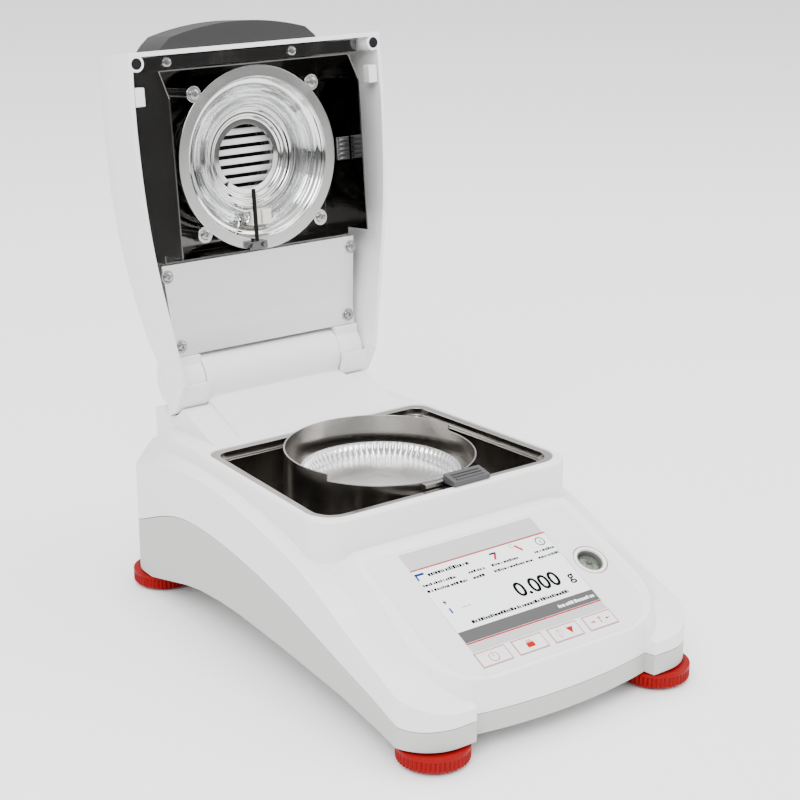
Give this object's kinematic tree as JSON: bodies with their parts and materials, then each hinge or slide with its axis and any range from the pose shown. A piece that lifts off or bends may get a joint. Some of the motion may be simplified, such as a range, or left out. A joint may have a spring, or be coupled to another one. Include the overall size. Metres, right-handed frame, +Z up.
{
  "type": "moisture analyzer",
  "caption": "Bench moisture analyzer with a hinged heater lid, ring lamp, weighing pan in a lift-out ring, sloping screen panel, soft keys and levelling feet.",
  "frame": {"origin": "centre of the overall box at table level, lid open", "axes": "+X the user's right, -Y the front, +Z up"},
  "size_m": [0.202, 0.3675, 0.347],
  "materials": {
    "white_housing": "fine moulded texture",
    "white_hinge": "fine moulded texture",
    "grey_housing": "fine moulded texture",
    "stainless_liner": "satin",
    "stainless_handler": "bright satin",
    "grip_plastic": "satin",
    "pan_aluminium": "bright rolled",
    "cell_aluminium": "machined",
    "cast_bracket": "cast",
    "circuit_board": "solder mask",
    "overlay_film": "semi-gloss film",
    "screen_glass": "lit display",
    "dark_plastic": "matt",
    "vial_glass": "clear",
    "level_ring_plastic": "satin",
    "connector_black": "matt",
    "zinc_steel": "plated",
    "handle_plastic": "satin",
    "tub_stainless": "bright rolled",
    "reflector_mirror": "polished",
    "ring_steel": "satin",
    "lamp_glass": "clear quartz",
    "ceramic": "unglazed",
    "grille_white": "enamel",
    "sensor_black": "blackened",
    "bracket_steel": "satin",
    "clip_steel": "satin",
    "brushed_plate": "fine brushed",
    "bumper_rubber": "matt",
    "pad_plastic": "satin",
    "key_film": "semi-gloss film",
    "pad_rubber": "matt",
    "foot_red": "satin"
  },
  "bodies": {
    "base": {"bottom_housing": "grey_housing", "top_housing": "white_housing", "chamber_liner": "stainless_liner", "heat_base_plate": "stainless_liner", "pan_support": "stainless_liner", "load_cell": "cell_aluminium", "load_cell_bracket": "cast_bracket", "display_overlay": "overlay_film", "lcd_screen": "screen_glass", "lcd_module": "dark_plastic", "keypad_board": "circuit_board", "level_vial": "vial_glass", "level_ring": "level_ring_plastic", "main_board": "circuit_board", "power_supply": "circuit_board", "power_inlet": "connector_black", "serial_port": "connector_black", "usb_port": "connector_black", "foot_nuts": "zinc_steel", "housing_screws": "zinc_steel", "hinge_pins": "zinc_steel"},
    "lid": {"lid_shell": "white_housing", "lid_handle": "handle_plastic", "heat_shield_tub": "tub_stainless", "end_shelf": "tub_stainless", "reflector": "reflector_mirror", "reflector_ring": "ring_steel", "ring_screws": "zinc_steel", "ring_posts": "zinc_steel", "lamp_tube": "lamp_glass", "lamp_holders": "ceramic", "vent_grille": "grille_white", "temp_sensor": "sensor_black", "sensor_bracket": "bracket_steel", "ring_clip": "clip_steel", "lower_plate": "brushed_plate", "plate_screws": "zinc_steel", "shelf_screws": "zinc_steel", "bumpers": "bumper_rubber", "lid_pads": "pad_plastic", "hinge_ear_left": "white_hinge", "hinge_ear_right": "white_hinge"},
    "handler": {"handler_ring": "stainless_handler", "handler_tab": "stainless_handler", "handler_grip": "grip_plastic"},
    "pan": {"sample_pan": "pan_aluminium"},
    "key_1": {"key_1": "key_film"},
    "key_2": {"key_2": "key_film"},
    "key_3": {"key_3": "key_film"},
    "key_4": {"key_4": "key_film"},
    "foot_pad_fl": {"foot_pad_fl": "pad_rubber"},
    "foot_wheel_fl": {"foot_wheel_fl": "foot_red"},
    "foot_pad_fr": {"foot_pad_fr": "pad_rubber"},
    "foot_wheel_fr": {"foot_wheel_fr": "foot_red"},
    "foot_pad_rl": {"foot_pad_rl": "pad_rubber"},
    "foot_wheel_rl": {"foot_wheel_rl": "foot_red"},
    "foot_pad_rr": {"foot_pad_rr": "pad_rubber"},
    "foot_wheel_rr": {"foot_wheel_rr": "foot_red"}
  },
  "joints": [
    {"name": "lid_hinge", "type": "hinge", "parent": "base", "child": "lid", "pos_m": [0, 0.1175, 0.132], "axis": [1, 0, 0], "range_deg": [0, 95.5]},
    {"name": "handler_lift", "type": "slide", "parent": "base", "child": "handler", "axis": [0, 0, -1], "range_m": [-0.045, 0]},
    {"name": "pan_lift", "type": "slide", "parent": "handler", "child": "pan", "axis": [0, 0, -1], "range_m": [-0.02, 0]},
    {"name": "key_1_press", "type": "slide", "parent": "base", "child": "key_1", "axis": [0, 0.4462, -0.8949], "range_m": [0, 0.0005], "stiffness_N_per_m": 400, "springref_m": -0.0005},
    {"name": "key_2_press", "type": "slide", "parent": "base", "child": "key_2", "axis": [0, 0.4462, -0.8949], "range_m": [0, 0.0005], "stiffness_N_per_m": 400, "springref_m": -0.0005},
    {"name": "key_3_press", "type": "slide", "parent": "base", "child": "key_3", "axis": [0, 0.4462, -0.8949], "range_m": [0, 0.0005], "stiffness_N_per_m": 400, "springref_m": -0.0005},
    {"name": "key_4_press", "type": "slide", "parent": "base", "child": "key_4", "axis": [0, 0.4462, -0.8949], "range_m": [0, 0.0005], "stiffness_N_per_m": 400, "springref_m": -0.0005},
    {"name": "foot_lift_fl", "type": "slide", "parent": "base", "child": "foot_pad_fl", "axis": [0, 0, 1], "range_m": [-0.00374, 0.00083]},
    {"name": "foot_turn_fl", "type": "hinge", "parent": "foot_pad_fl", "child": "foot_wheel_fl", "pos_m": [-0.0795, -0.1654, 0.006], "axis": [0, 0, 1], "range_deg": [-1080, 240]},
    {"name": "foot_lift_fr", "type": "slide", "parent": "base", "child": "foot_pad_fr", "axis": [0, 0, 1], "range_m": [-0.00374, 0.00083]},
    {"name": "foot_turn_fr", "type": "hinge", "parent": "foot_pad_fr", "child": "foot_wheel_fr", "pos_m": [0.0795, -0.1654, 0.006], "axis": [0, 0, 1], "range_deg": [-1080, 240]},
    {"name": "foot_lift_rl", "type": "slide", "parent": "base", "child": "foot_pad_rl", "axis": [0, 0, 1], "range_m": [-0.00374, 0.00083]},
    {"name": "foot_turn_rl", "type": "hinge", "parent": "foot_pad_rl", "child": "foot_wheel_rl", "pos_m": [-0.0746, 0.1207, 0.006], "axis": [0, 0, 1], "range_deg": [-1080, 240]},
    {"name": "foot_lift_rr", "type": "slide", "parent": "base", "child": "foot_pad_rr", "axis": [0, 0, 1], "range_m": [-0.00374, 0.00083]},
    {"name": "foot_turn_rr", "type": "hinge", "parent": "foot_pad_rr", "child": "foot_wheel_rr", "pos_m": [0.0746, 0.1207, 0.006], "axis": [0, 0, 1], "range_deg": [-1080, 240]}
  ],
  "couplings": [
    {"joint": "foot_turn_fl", "follows": "foot_lift_fl", "rad_per_m": 5026.5},
    {"joint": "foot_turn_fr", "follows": "foot_lift_fr", "rad_per_m": 5026.5},
    {"joint": "foot_turn_rl", "follows": "foot_lift_rl", "rad_per_m": 5026.5},
    {"joint": "foot_turn_rr", "follows": "foot_lift_rr", "rad_per_m": 5026.5}
  ]
}
